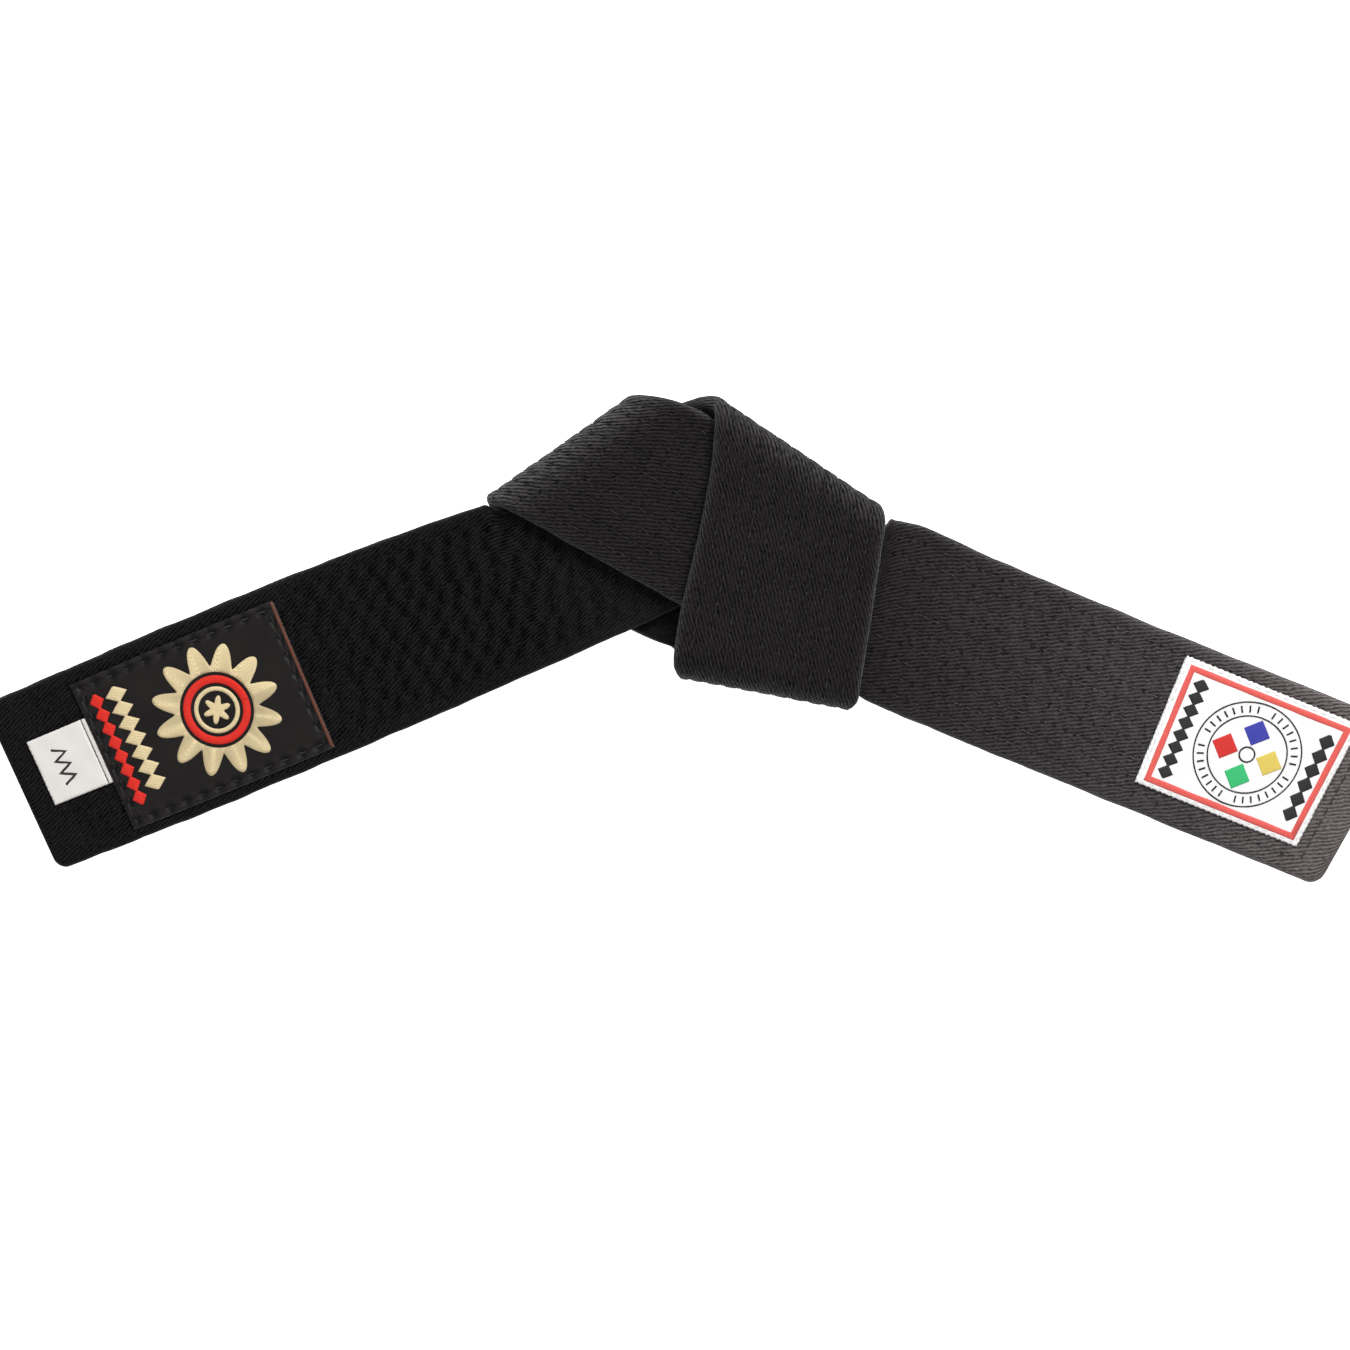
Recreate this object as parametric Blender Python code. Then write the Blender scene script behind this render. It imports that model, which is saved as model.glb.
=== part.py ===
"""Martial arts belt tied in one overhand knot, lying flat, with a patch, a size tag and a woven label.

The belt is one quilted strap. Its two long edges, called plus and minus, are followed through the knot, and
every piece is drawn flat in belt coordinates (station along, across, height) and then placed on the strap.
All dimensions are millimetres until the mesh is made; the finished object is in metres with +Z up.
"""

from math import cos, pi, radians, sin

import bmesh
import bpy
import numpy as np

MM = 0.001

# Strap
HALF_WIDTH = 22.5
HALF_THICK = 1.95  # at the plump margins beside the quilting
QUILTED_HALF = 1.6  # in the quilted middle
MARGIN = 1.3  # flat width of each plump margin
COVER_WALL = 0.4
PLY_THICK = 0.6
PLY_PITCH = 0.75
PLY_HALF_WIDTH = 19.0
PLY_STEP_BACK = 0.4  # each ply away from the middle one is this much narrower on each side
CORE_FROM_TIP, CORE_FROM_HINGE = 5.0, 0.4
LEFT_ROUNDING, RIGHT_ROUNDING = 3.0, 3.5  # corners of the two sewn ends
QUILT_ROWS = 10
QUILT_SPACING = 4.1
QUILT_FROM_TIP, QUILT_FROM_HINGE = 10.5, 2.0
THREAD_HALF = 0.2
THREAD_LOW = 1.76
THREAD_HIGH = 1.98
HEM_LEFT, HEM_RIGHT = 9.1, 7.7  # distance of each end's cross seam from its tip
HEM_HALF_LENGTH = 18.4
HEM_LOW, HEM_HIGH = 1.98, 2.16

# Knot: heights of the strap's middle surface in the four layers, from the back one to the wrap
LAYER = [HALF_THICK + 4.2 * layer for layer in range(4)]
BACK, TAIL, BAND, WRAP = LAYER
CENTRE = np.array([2.101, -22.075, 0.0])  # middle of the footprint, which is the object's origin

# Hinges, as stations along the strap
LEFT_HINGE = 128.4
RIGHT_HINGE = 473.9
HINGE_GAP = 1.95  # from the hinge line to the end of the strap on each side

# Patch on the left tail
PATCH_START, PATCH_END = 22.1, 76.9
PATCH_LOW, PATCH_HIGH = -20.0, 18.4
PATCH_SEAM = 1.8  # distance of the box stitch from the patch's edges
EMBLEM = (53.4, -0.8)
PETALS = 12
PETAL_TIP, PETAL_NOTCH, PETAL_ROOT = 16.2, 10.6, 9.2
CREAM_ROW, RED_ROW = 31.8, 26.6

# Size tag, hinged along the patch's left edge
TAG_START, TAG_END = 6.3, 20.8
TAG_HINGE = 20.9
TAG_LOW, TAG_HIGH = -7.3, 9.7
TAG_UNDER, TAG_OVER = 2.25, 2.6

# Woven label on the right tail, measured from the right end and upwards across the strap
LABEL_NEAR, LABEL_FAR = 10.4, 55.6
LABEL_LOW, LABEL_HIGH = -15.5, 18.5
LABEL_CENTRE = (32.3, 1.2)
LABEL_RINGS = (13.3, 9.8)
LABEL_HUB = 1.9
FIGURE_REACH = 5.9  # from the label's centre to each coloured diamond
FIGURE_HALF = 3.5

BLACK = (0.012, 0.012, 0.013)
THREAD_BLACK = (0.02, 0.02, 0.022)
CORE_GREY = (0.55, 0.54, 0.5)
SATIN = (0.03, 0.027, 0.027)
CREAM = (0.78, 0.68, 0.45)
RED = (0.55, 0.03, 0.03)
BROWN = (0.16, 0.06, 0.035)
WHITE = (0.82, 0.81, 0.78)
SALMON = (0.75, 0.22, 0.18)
DARK = (0.05, 0.05, 0.055)
BLUE = (0.1, 0.14, 0.45)
YELLOW = (0.8, 0.65, 0.2)
GREEN = (0.1, 0.42, 0.25)


# ---- the course of the strap ----


def unit(vector):
    return vector / np.linalg.norm(vector)


def heading(degrees):
    return np.array([cos(radians(degrees)), sin(radians(degrees)), 0.0])


def point(xy, height):
    return np.array([xy[0], xy[1], height], float)


def ruling(plus, minus, height, plus_heading, minus_heading):
    """One line across the strap: its two edge points and the way each edge travels there."""
    return (point(plus, height), point(minus, height), heading(plus_heading), heading(minus_heading))


def fold(plus_corner, minus_corner, height_in, height_out, reach, headings_in, headings_out, slip=99.0):
    """Three rulings of a fold: where the strap enters it, its outermost line, and where it leaves.

    An edge that meets the fold line at a slant drifts along it as it goes round. The cloth slips at the
    way out where its edges drift less than that.
    """
    axis = unit(point(minus_corner, 0) - point(plus_corner, 0))
    travel = heading(headings_in[0])
    inward = -unit(travel - axis * (travel @ axis))
    rise = (height_out - height_in) / 2
    quarter = pi / 4 * (reach + abs(rise))
    enter, turn, leave = [], [], []
    for corner, degrees_in, degrees_out in zip((plus_corner, minus_corner), headings_in, headings_out):
        way_in, way_out = heading(degrees_in), heading(degrees_out)
        drift_in = (way_in @ axis) / (way_in @ -inward) * quarter
        drift_out = max((way_out @ axis) / (way_out @ inward) * quarter, -slip)
        inset = inward * (HALF_THICK + reach)
        enter.append((point(corner, height_in) - axis * drift_in + inset, way_in))
        upward = point((0, 0), np.sign(rise)) + axis * (drift_in + drift_out) / (2 * quarter)
        turn.append((point(corner, height_in + rise) + inward * HALF_THICK, unit(upward)))
        leave.append((point(corner, height_out) + axis * drift_out + inset, way_out))
    return [(plus[0], minus[0], plus[1], minus[1]) for plus, minus in (enter, turn, leave)]


def course():
    """The rulings from the left end to the right end, and which of them start a quarter of a fold."""
    stops = [
        ruling((-176.2, -38.8), (-157.2, -80.2), BACK, 23.5, 20.5),
        ruling((-75.0, 2.8), (-57.6, -39.3), 5.2, 20, 23.5),
        ruling((-52.8, 10.5), (-36.3, -30.0), TAIL, 16, 23.5),
        ruling((-45.0, 9.5), (-30.0, -27.2), TAIL, 10, 23.5),
    ]
    folds = []
    for piece in (
        fold((7.2, 39.3), (50.3, 10.4), TAIL, WRAP, 4.3, (19, 26), (-91, -98)),
        fold((-3.6, -31.9), (42.9, -40.7), WRAP, BACK, 5.8, (-98, -98), (163, 108), slip=1.5),
        fold((-50.8, 13.1), (-13.6, 39.2), BACK, BAND, 4.3, (133, 125), (-27.5, -11)),
    ):
        folds += [len(stops), len(stops) + 1]
        stops += piece
    stops += [
        ruling((8.5, -18.8), (27.0, 18.6), BAND, -27.4, -27),
        ruling((38.1, -32.7), (48.8, 4.7), BAND, -26, 6),
        ruling((46.0, -38.1), (53.6, 7.2), 10.0, -24.0, -8),
        ruling((60.5, -44.2), (77.5, -2.3), 8.4, -22.5, -22.5),
        ruling((113.75, -66.0), (131.0, -24.2), 3.4, -22.4, -22.0),
        ruling((158.9, -84.2), (181.3, -44.3), BACK, -22.4, -22.0),
    ]
    return stops, folds


def trace(stops, folds, steps=60):
    """Both edges as dense rows of points, with the station of each row and of each stop."""
    rows, marks = [], []
    for number, (here, there) in enumerate(zip(stops, stops[1:])):
        marks.append(len(rows))
        stretch = 1.17 if number in folds else 1.0
        for t in np.arange(steps) / steps:
            row = []
            for edge in (0, 1):
                chord = np.linalg.norm(there[edge] - here[edge]) * stretch
                row.append(
                    (2 * t**3 - 3 * t**2 + 1) * here[edge]
                    + (t**3 - 2 * t**2 + t) * chord * here[edge + 2]
                    + (3 * t**2 - 2 * t**3) * there[edge]
                    + (t**3 - t**2) * chord * there[edge + 2]
                )
            rows.append(row)
    rows.append([stops[-1][0], stops[-1][1]])
    marks.append(len(rows) - 1)
    rows = np.array(rows) - CENTRE
    lengths = np.linalg.norm(np.diff(rows, axis=0), axis=2).mean(axis=1)
    stations = np.concatenate([[0.0], np.cumsum(lengths)])
    return rows, stations, stations[marks]


STOPS, FOLDS = course()
ROWS, STATIONS, MARKS = trace(STOPS, FOLDS)
TOTAL = STATIONS[-1]


def edges_at(station):
    """The plus and minus edge points at a station."""
    return np.array(
        [[np.interp(station, STATIONS, ROWS[:, edge, axis]) for axis in range(3)] for edge in (0, 1)]
    )


def place(station, across, height):
    """A point of the strap: across runs from the minus edge to the plus edge, height from the middle."""
    plus, minus = edges_at(station)
    before, after = edges_at(max(station - 0.4, 0.0)), edges_at(min(station + 0.4, TOTAL))
    share = across / (2 * HALF_WIDTH) + 0.5
    travel = (after[0] - before[0]) * share + (after[1] - before[1]) * (1 - share)
    normal = unit(np.cross(travel, plus - minus))
    return minus + (plus - minus) * share + normal * height


def on_left(station, across, height):
    return place(station, across, height)


def on_right(from_end, rise, height):
    """The right tail shows its other face, so up and outwards are both reversed."""
    return place(TOTAL - from_end, -rise, -height)


def ring_stations(start, end):
    """Stations for the cross-sections: close together in the folds, wide apart on the flat parts."""
    picked = [start]
    for number, (low, high) in enumerate(zip(MARKS, MARKS[1:])):
        count = 5 if number in FOLDS else max(1, round((high - low) / 13))
        for step in range(count):
            station = low + (high - low) * step / count
            if start + 1.5 < station < end - 1.5:
                picked.append(station)
    return picked + [end]


# ---- making objects ----


def clear_scene():
    for item in list(bpy.data.objects):
        bpy.data.objects.remove(item, do_unlink=True)


def make_material(name, colour, roughness):
    material = bpy.data.materials.new(name)
    material.use_nodes = True
    shader = material.node_tree.nodes["Principled BSDF"]
    shader.inputs["Base Color"].default_value = (*colour, 1.0)
    shader.inputs["Roughness"].default_value = roughness
    shader.inputs["Metallic"].default_value = 0.0
    return material


def make_pivot(name, location):
    pivot = bpy.data.objects.new(name, None)
    pivot.empty_display_size = 0.01
    pivot.location = location * MM
    COLLECTION.objects.link(pivot)
    return pivot


def make_object(name, pivot, points, faces, colour, roughness):
    """A closed mesh whose origin is its pivot's place."""
    origin = np.array(pivot.location) / MM if pivot else np.zeros(3)
    mesh = bpy.data.meshes.new(name)
    mesh.from_pydata([tuple((p - origin) * MM) for p in points], [], faces)
    work = bmesh.new()
    work.from_mesh(mesh)
    bmesh.ops.recalc_face_normals(work, faces=work.faces)
    work.to_mesh(mesh)
    work.free()
    mesh.shade_smooth()
    mesh.set_sharp_from_angle(angle=radians(40))
    mesh.materials.append(make_material(name, colour, roughness))
    item = bpy.data.objects.new(name, mesh)
    COLLECTION.objects.link(item)
    if pivot:
        item.parent = pivot
    return item


def bridge(first, second, count):
    """Quads between two rings of the same number of points."""
    return [
        (first + i, first + (i + 1) % count, second + (i + 1) % count, second + i) for i in range(count)
    ]


def loft(rings, closed):
    """Points and faces of a row of rings, joined end to end or capped."""
    count = len(rings[0])
    points = [p for ring in rings for p in ring]
    faces = []
    for number in range(len(rings) - 1):
        faces += bridge(number * count, (number + 1) * count, count)
    last = (len(rings) - 1) * count
    if closed:
        faces += bridge(last, 0, count)
    else:
        faces += [tuple(range(count)), tuple(range(last, last + count))]
    return points, faces


def strap_section(inset, narrow=0.0, flatten=1.0):
    """Outline of the strap: two rounded edges, plump flat margins and a thinner quilted middle."""
    thick = HALF_THICK - inset
    middle = QUILTED_HALF - inset
    edge = HALF_WIDTH - HALF_THICK - narrow
    step = HALF_WIDTH - HALF_THICK - MARGIN
    slope = step - 0.5
    outline = []
    for side in (1, -1):
        for degrees in (90, 45, 0, -45, -90):
            turn = radians(degrees)
            across = edge + thick * cos(turn)
            outline.append((side * across, side * thick * sin(turn) * flatten))
        outline.append((side * min(step, edge - 0.4), -side * thick * flatten))
        outline.append((side * min(slope, edge - 0.8), -side * middle * flatten))
        outline.append((-side * min(slope, edge - 0.8), -side * middle * flatten))
        outline.append((-side * min(step, edge - 0.4), -side * thick * flatten))
    return outline


def box_section(half_width, low, high):
    return [(-half_width, low), (half_width, low), (half_width, high), (-half_width, high)]


def ring_at(station, section):
    return [place(station, across, height) for across, height in section]


def cover(name, pivot, start, end, tip, rounding):
    """The quilted cover: a tube open at a hinge, closed at a belt end when tip names that end."""
    stations = ring_stations(start, end)
    outer, inner = [], []
    for station in stations:
        outer.append(ring_at(station, strap_section(0.0)))
        inner.append(ring_at(station, strap_section(COVER_WALL)))
    if tip is None:
        points, faces = loft(outer + inner[::-1], closed=True)
        return make_object(name, pivot, points, faces, BLACK, 0.9)
    if tip == "right":
        stations, outer, inner = stations[::-1], outer[::-1], inner[::-1]
    inward = 1.0 if tip == "left" else -1.0
    hem_outer, hem_inner = [], ring_at(stations[0] + inward * 3.0, strap_section(COVER_WALL))
    for degrees in (0, 35, 65):
        along = rounding * (1 - sin(radians(degrees)))
        narrow = rounding * (1 - cos(radians(90 - degrees)))
        flatten = 0.72 + 0.28 * sin(radians(degrees))
        hem_outer.append(ring_at(stations[0] + inward * (rounding - along), strap_section(0.0, narrow, flatten)))
    hem_outer.append(ring_at(stations[0] + inward * rounding, strap_section(0.0)))
    far = [n for n, station in enumerate(stations) if abs(station - stations[0]) > 4.5]
    rings = hem_outer + [outer[n] for n in far] + [inner[n] for n in reversed(far)] + [hem_inner]
    points, faces = loft(rings, closed=False)
    return make_object(name, pivot, points, faces, BLACK, 0.9)


def core_ply(name, pivot, start, end, level):
    """One flat ply of the stiff core, following the strap inside its cover."""
    middle = (level - 1) * PLY_PITCH
    half_width = PLY_HALF_WIDTH - PLY_STEP_BACK * abs(level - 1)
    section = box_section(half_width, middle - PLY_THICK / 2, middle + PLY_THICK / 2)
    rings = [ring_at(station, section) for station in ring_stations(start, end)]
    points, faces = loft(rings, closed=False)
    return make_object(name, pivot, points, faces, CORE_GREY, 0.95)


def strand(name, pivot, path, half_width, low, high, where, colour, closed=False, ridge=False):
    """A thread, cord or border that follows a flat path, mitred at its corners."""
    flat = [np.array(p, float) for p in path]
    rings = []
    for number, here in enumerate(flat):
        before = flat[number - 1] if closed or number else None
        after = flat[(number + 1) % len(flat)] if closed or number < len(flat) - 1 else None
        ways = []
        if before is not None:
            ways.append(unit(here - before))
        if after is not None:
            ways.append(unit(after - here))
        mean = unit(sum(ways))
        side = np.array([-mean[1], mean[0]]) * half_width / max(mean @ ways[0], 0.35)
        if ridge:
            ring = [(here - side, low), (here + side, low), (here, high)]
        else:
            ring = [(here - side, low), (here + side, low), (here + side, high), (here - side, high)]
        rings.append([where(p[0], p[1], height) for p, height in ring])
    points, faces = loft(rings, closed)
    return make_object(name, pivot, points, faces, colour, 0.7)


def plate(name, pivot, outline, centre, low, high, where, colour, roughness=0.7):
    """A thin flat piece with any outline that can be seen whole from its centre."""
    count = len(outline)
    points = [where(a, b, low) for a, b in outline] + [where(a, b, high) for a, b in outline]
    points += [where(centre[0], centre[1], low), where(centre[0], centre[1], high)]
    faces = bridge(0, count, count)
    for i in range(count):
        following = (i + 1) % count
        faces.append((following, i, 2 * count))
        faces.append((count + i, count + following, 2 * count + 1))
    return make_object(name, pivot, points, faces, colour, roughness)


def sheet(name, pivot, along, low_side, high_side, low, high, where, colour, roughness=0.7):
    """A rectangular piece that follows the strap's gentle bend."""
    rings = [
        [where(s, a, h) for a, h in ((low_side, low), (high_side, low), (high_side, high), (low_side, high))]
        for s in along
    ]
    points, faces = loft(rings, closed=False)
    return make_object(name, pivot, points, faces, colour, roughness)


def band(name, pivot, centre, inner, outer, count, low, high, where, colour):
    """A flat ring; inner and outer give its two radii at an angle."""
    rings = []
    for n in range(count):
        angle = 2 * pi * n / count
        corners = ((inner(angle), low), (outer(angle), low), (outer(angle), high), (inner(angle), high))
        rings.append(
            [where(centre[0] + r * cos(angle), centre[1] + r * sin(angle), height) for r, height in corners]
        )
    points, faces = loft(rings, closed=True)
    return make_object(name, pivot, points, faces, colour, 0.7)


def lozenge_row(name, pivot, station, start, end, count, reach, low, high, where, colour, waist=0.3):
    """A straight row of joined lozenges across the strap, each reaching equally far to both sides."""
    rings = []
    for n in range(2 * count + 1):
        across = start + (end - start) * n / (2 * count)
        half = reach if n % 2 else waist
        corners = ((-half, low), (half, low), (half, high), (-half, high))
        rings.append([where(station + along, across, height) for along, height in corners])
    points, faces = loft(rings, closed=False)
    return make_object(name, pivot, points, faces, colour, 0.7)


# ---- flat paths ----


def quilting_path(start, end):
    """One unbroken thread that runs up and down the rows."""
    stations = ring_stations(start, end)
    path = []
    for row in range(QUILT_ROWS):
        across = (row - (QUILT_ROWS - 1) / 2) * QUILT_SPACING
        ordered = stations if row % 2 == 0 else stations[::-1]
        path += [(station, across) for station in ordered]
    return path


def rectangle_path(start, end, low, high, spacing=13.0):
    """A closed rectangle with extra points along its long sides."""
    count = max(1, round((end - start) / spacing))
    stations = [start + (end - start) * n / count for n in range(count + 1)]
    return [(s, low) for s in stations] + [(s, high) for s in reversed(stations)]


def wavy_ring(centre, radius, swing, lobes, count, turn=0.0):
    path = []
    for n in range(count):
        angle = 2 * pi * n / count
        reach = radius + swing * cos(lobes * angle + turn)
        path.append((centre[0] + reach * cos(angle), centre[1] + reach * sin(angle)))
    return path


def zigzag_path(station, low, high, swing, count):
    return [
        (station + (swing if n % 2 else -swing), low + (high - low) * n / count) for n in range(count + 1)
    ]


def diamond(centre, half):
    return [(centre[0] + half * a, centre[1] + half * b) for a, b in ((1, 0), (0, 1), (-1, 0), (0, -1))]


# ---- the pieces ----


def build_strap(body, pivot, start, end, tip):
    """Cover, three core plies and the two faces of quilting of one stretch of the belt."""
    cover(body + "_shell", pivot, start, end, tip, RIGHT_ROUNDING if tip == "right" else LEFT_ROUNDING)
    core_start = start + (CORE_FROM_TIP if tip == "left" else CORE_FROM_HINGE)
    core_end = end - (CORE_FROM_TIP if tip == "right" else CORE_FROM_HINGE)
    for level in range(3):
        core_ply(f"{body}_core_ply_{level + 1}", pivot, core_start, core_end, level)
    quilt_start = start + (QUILT_FROM_TIP if tip == "left" else QUILT_FROM_HINGE)
    quilt_end = end - (QUILT_FROM_TIP if tip == "right" else QUILT_FROM_HINGE)
    path = quilting_path(quilt_start, quilt_end)
    for face, side in (("front", 1), ("back", -1)):
        strand(
            f"{body}_quilting_{face}", pivot, path, THREAD_HALF,
            side * THREAD_LOW, side * THREAD_HIGH, place, THREAD_BLACK, ridge=True,
        )


def petal_edge(angle):
    """Outer radius of the emblem's petals."""
    return PETAL_NOTCH + (PETAL_TIP - PETAL_NOTCH) * (0.5 + 0.5 * cos(PETALS * angle)) ** 0.7


def build_patch(pivot):
    low, high = 2.05, 2.7
    raised, top = 2.76, 3.06
    along = np.linspace(PATCH_START, PATCH_END, 6)
    sheet("patch_ground", pivot, along, PATCH_LOW, PATCH_HIGH, low, high, on_left, SATIN, 0.45)
    seam = rectangle_path(
        PATCH_START + PATCH_SEAM, PATCH_END - PATCH_SEAM, PATCH_LOW + PATCH_SEAM, PATCH_HIGH - PATCH_SEAM
    )
    strand("patch_stitching", pivot, seam, 0.3, raised, top, on_left, THREAD_BLACK, closed=True)
    selvedge = np.linspace(PATCH_END - 1.2, PATCH_END - 0.2, 2)
    sheet("patch_selvedge", pivot, selvedge, PATCH_LOW + 0.4, PATCH_HIGH - 0.4, raised, top, on_left, BROWN)
    petals = "patch_emblem_outer_ring"
    band(petals, pivot, EMBLEM, lambda a: PETAL_ROOT, petal_edge, 6 * PETALS, raised, top, on_left, CREAM)
    red = "patch_emblem_red_ring"
    band(red, pivot, EMBLEM, lambda a: 6.5, lambda a: 8.4, 36, raised, top, on_left, RED)
    cream = "patch_emblem_inner_ring"
    band(cream, pivot, EMBLEM, lambda a: 4.6, lambda a: 5.7, 36, raised, top, on_left, CREAM)
    star = wavy_ring(EMBLEM, 2.7, 0.9, 6, 36)
    plate("patch_emblem_star", pivot, star, EMBLEM, raised, top, on_left, CREAM)
    lozenge_row("patch_cream_row", pivot, CREAM_ROW, -13.0, 14.0, 7, 2.9, raised, top, on_left, CREAM)
    lozenge_row("patch_red_row", pivot, RED_ROW, -15.0, 14.0, 8, 1.9, raised, top, on_left, RED)


def build_label(pivot):
    low, high = 2.15, 2.5
    raised, top = 2.58, 2.8
    along = np.linspace(LABEL_NEAR, LABEL_FAR, 5)
    sheet("label_ground", pivot, along, LABEL_LOW, LABEL_HIGH, low, high, on_right, WHITE)
    stitch = rectangle_path(LABEL_NEAR + 0.6, LABEL_FAR - 0.6, LABEL_LOW + 0.6, LABEL_HIGH - 0.6)
    strand("label_stitching", pivot, stitch, 0.2, raised, top, on_right, WHITE, closed=True)
    border = rectangle_path(LABEL_NEAR + 2.2, LABEL_FAR - 2.6, LABEL_LOW + 2.0, LABEL_HIGH - 2.4)
    strand("label_border", pivot, border, 0.7, raised, top, on_right, SALMON, closed=True)
    for name, radius in zip(("label_outer_ring", "label_inner_ring"), LABEL_RINGS):
        circle = wavy_ring(LABEL_CENTRE, radius, 0.0, 1, 32)
        strand(name, pivot, circle, 0.22, raised, top, on_right, DARK, closed=True)
    hub = wavy_ring(LABEL_CENTRE, LABEL_HUB, 0.0, 1, 16)
    plate("label_hub", pivot, hub, LABEL_CENTRE, raised, top, on_right, DARK)
    for colour_name, colour, way in (
        ("blue", BLUE, (0, 1)),
        ("yellow", YELLOW, (-1, 0)),
        ("green", GREEN, (0, -1)),
        ("red", RED, (1, 0)),
    ):
        spot = (LABEL_CENTRE[0] + FIGURE_REACH * way[0], LABEL_CENTRE[1] + FIGURE_REACH * way[1])
        name = f"label_diamond_{colour_name}"
        plate(name, pivot, diamond(spot, FIGURE_HALF), spot, raised, top, on_right, colour)
    inner, outer = LABEL_FAR - 6.2, LABEL_NEAR + 5.4
    lozenge_row("label_row_inner", pivot, inner, -12.0, 14.4, 8, 2.1, raised, top, on_right, DARK)
    lozenge_row("label_row_outer", pivot, outer, -10.4, 13.4, 6, 2.1, raised, top, on_right, DARK)


def build_tag(pivot):
    along = np.linspace(TAG_START, TAG_END, 3)
    sheet("size_tag_ribbon", pivot, along, TAG_LOW, TAG_HIGH, TAG_UNDER, TAG_OVER, on_left, WHITE, 0.5)
    marks = zigzag_path(12.6, -3.6, 5.6, 1.6, 6)
    strand("size_tag_mark", pivot, marks, 0.4, TAG_OVER + 0.06, TAG_OVER + 0.2, on_left, DARK)


def hem_stitch(name, pivot, station, where):
    """The seam that holds a turned-in end."""
    path = [(station, -HEM_HALF_LENGTH), (station, HEM_HALF_LENGTH)]
    strand(name, pivot, path, 0.25, HEM_LOW, HEM_HIGH, where, THREAD_BLACK)


def build():
    left_pivot = make_pivot("left_tail_pivot", edges_at(LEFT_HINGE).mean(axis=0))
    right_pivot = make_pivot("right_tail_pivot", edges_at(RIGHT_HINGE).mean(axis=0))
    tag_pivot = make_pivot("size_tag_pivot", place(TAG_HINGE, (TAG_LOW + TAG_HIGH) / 2, 2.25))
    build_strap("knot", None, LEFT_HINGE + HINGE_GAP, RIGHT_HINGE - HINGE_GAP, None)
    build_strap("left_tail", left_pivot, 0.0, LEFT_HINGE - HINGE_GAP, "left")
    build_strap("right_tail", right_pivot, RIGHT_HINGE + HINGE_GAP, TOTAL, "right")
    hem_stitch("left_end_stitching", left_pivot, HEM_LEFT, on_left)
    hem_stitch("right_end_stitching", right_pivot, HEM_RIGHT, on_right)
    build_patch(left_pivot)
    build_label(right_pivot)
    build_tag(tag_pivot)


clear_scene()
COLLECTION = bpy.data.collections.new("martial_arts_belt")
bpy.context.scene.collection.children.link(COLLECTION)
build()
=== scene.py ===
"""Looks of the knotted martial arts belt: quilted black twill, embroidered patch, size tag, woven label.

The strap follows the same course as the CAD model: its plus and minus edges are traced through the knot, and
everything is drawn flat in strap coordinates (station along, across, height) in millimetres.
"""

from math import cos, pi, radians, sin, tan

import bpy
import numpy as np
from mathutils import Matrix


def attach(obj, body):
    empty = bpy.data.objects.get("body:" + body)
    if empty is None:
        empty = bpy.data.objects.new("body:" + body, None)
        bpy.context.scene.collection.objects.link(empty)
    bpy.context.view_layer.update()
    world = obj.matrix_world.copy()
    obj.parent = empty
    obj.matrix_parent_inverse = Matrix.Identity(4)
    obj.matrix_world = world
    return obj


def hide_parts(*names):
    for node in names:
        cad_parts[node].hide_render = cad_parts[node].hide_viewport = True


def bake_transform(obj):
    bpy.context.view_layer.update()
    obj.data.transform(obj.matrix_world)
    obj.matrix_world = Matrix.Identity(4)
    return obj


MM = 0.001

# Strap, as in the CAD
HALF_WIDTH = 22.5
HALF_THICK = 1.95
LAYER_PITCH = 4.2
BACK, TAIL, BAND, WRAP = (HALF_THICK + LAYER_PITCH * layer for layer in range(4))
CENTRE = np.array([2.101, -22.075, 0.0])  # middle of the whole belt, which becomes the origin
LEFT_HINGE = 128.4
RIGHT_HINGE = 473.9
CUT = 432.0  # where the two halves of the strap meet, hidden under the wrap
STRIDE = 0.4  # to either side of a point, to find which way the strap runs there
FINE = 0.45  # mesh spacing on the strap
TIPS = {"left": 3.0, "right": 3.5}  # how far the corners of each sewn end are rounded
HEMS = {"left": 9.1, "right": 7.7}  # from each end to its cross seam

# The three folds: stations of their lines, how far their corners are drawn in, the painted highlight over
# each, and the lengths over which these and their creases fade
FOLD_LINES = (214.7, 278.8, 365.5)
FOLD_PULL = (0.7, 1.5, 0.5)
FOLD_PULL_REACH = (3.2, 3.2, 3.2)
FOLD_CREASE_REACH = (4.0, 4.0, 4.0)
FOLD_HIGHLIGHT = (0.19, 0.24, 0.35)
FOLD_HIGHLIGHT_REACH = (6.0, 4.5, 8.0)
EDGE_HIGHLIGHT = 0.22
EDGE_HIGHLIGHT_START = 180.0
EDGE_ZONE = 9.5  # how far inside the strap's edge its corners are drawn in or let out
# Where the tails' upper edges spring out again beside the knot: station, side, how far, over what length
RELEASES = ((135.4, 1, 1.2, 1.7), (455.3, -1, 2.1, 2.4))

# Quilting and weave
ROWS = 10
ROW_SPACING = 4.1
STITCH = 3.1
STITCH_COVER = 0.72  # share of a seam stitch's pitch that its thread covers
ROW_SHIFT = 0.37  # of a stitch, from one row to the next
PUCKER = 5.35  # spacing of the bunches between the rows
BUNCH = 0.05  # their depth
BUNCHES = ((119, 42, 0.25), (505, 30, 0.06))  # where they are deeper: station, over what length, how much
QUILTING_THREAD = (2.1, 0.13)  # length and half width of a quilting stitch
QUILTING_HEIGHTS = (1.52, 1.72)  # from the strap's middle to the underside and top of its thread
QUILTING_MARGIN = 9.5  # from the strap's end to the first stitch
HEM_THREAD = (0.22, 1.6, 1.9)  # half width, underside and top of the hem's stitches
HEM_REACH = 18.4
GIRTH = 4 * HALF_WIDTH + (2 * pi - 4) * HALF_THICK  # length round the strap
TWILL_SLANT = radians(23.0)
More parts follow.
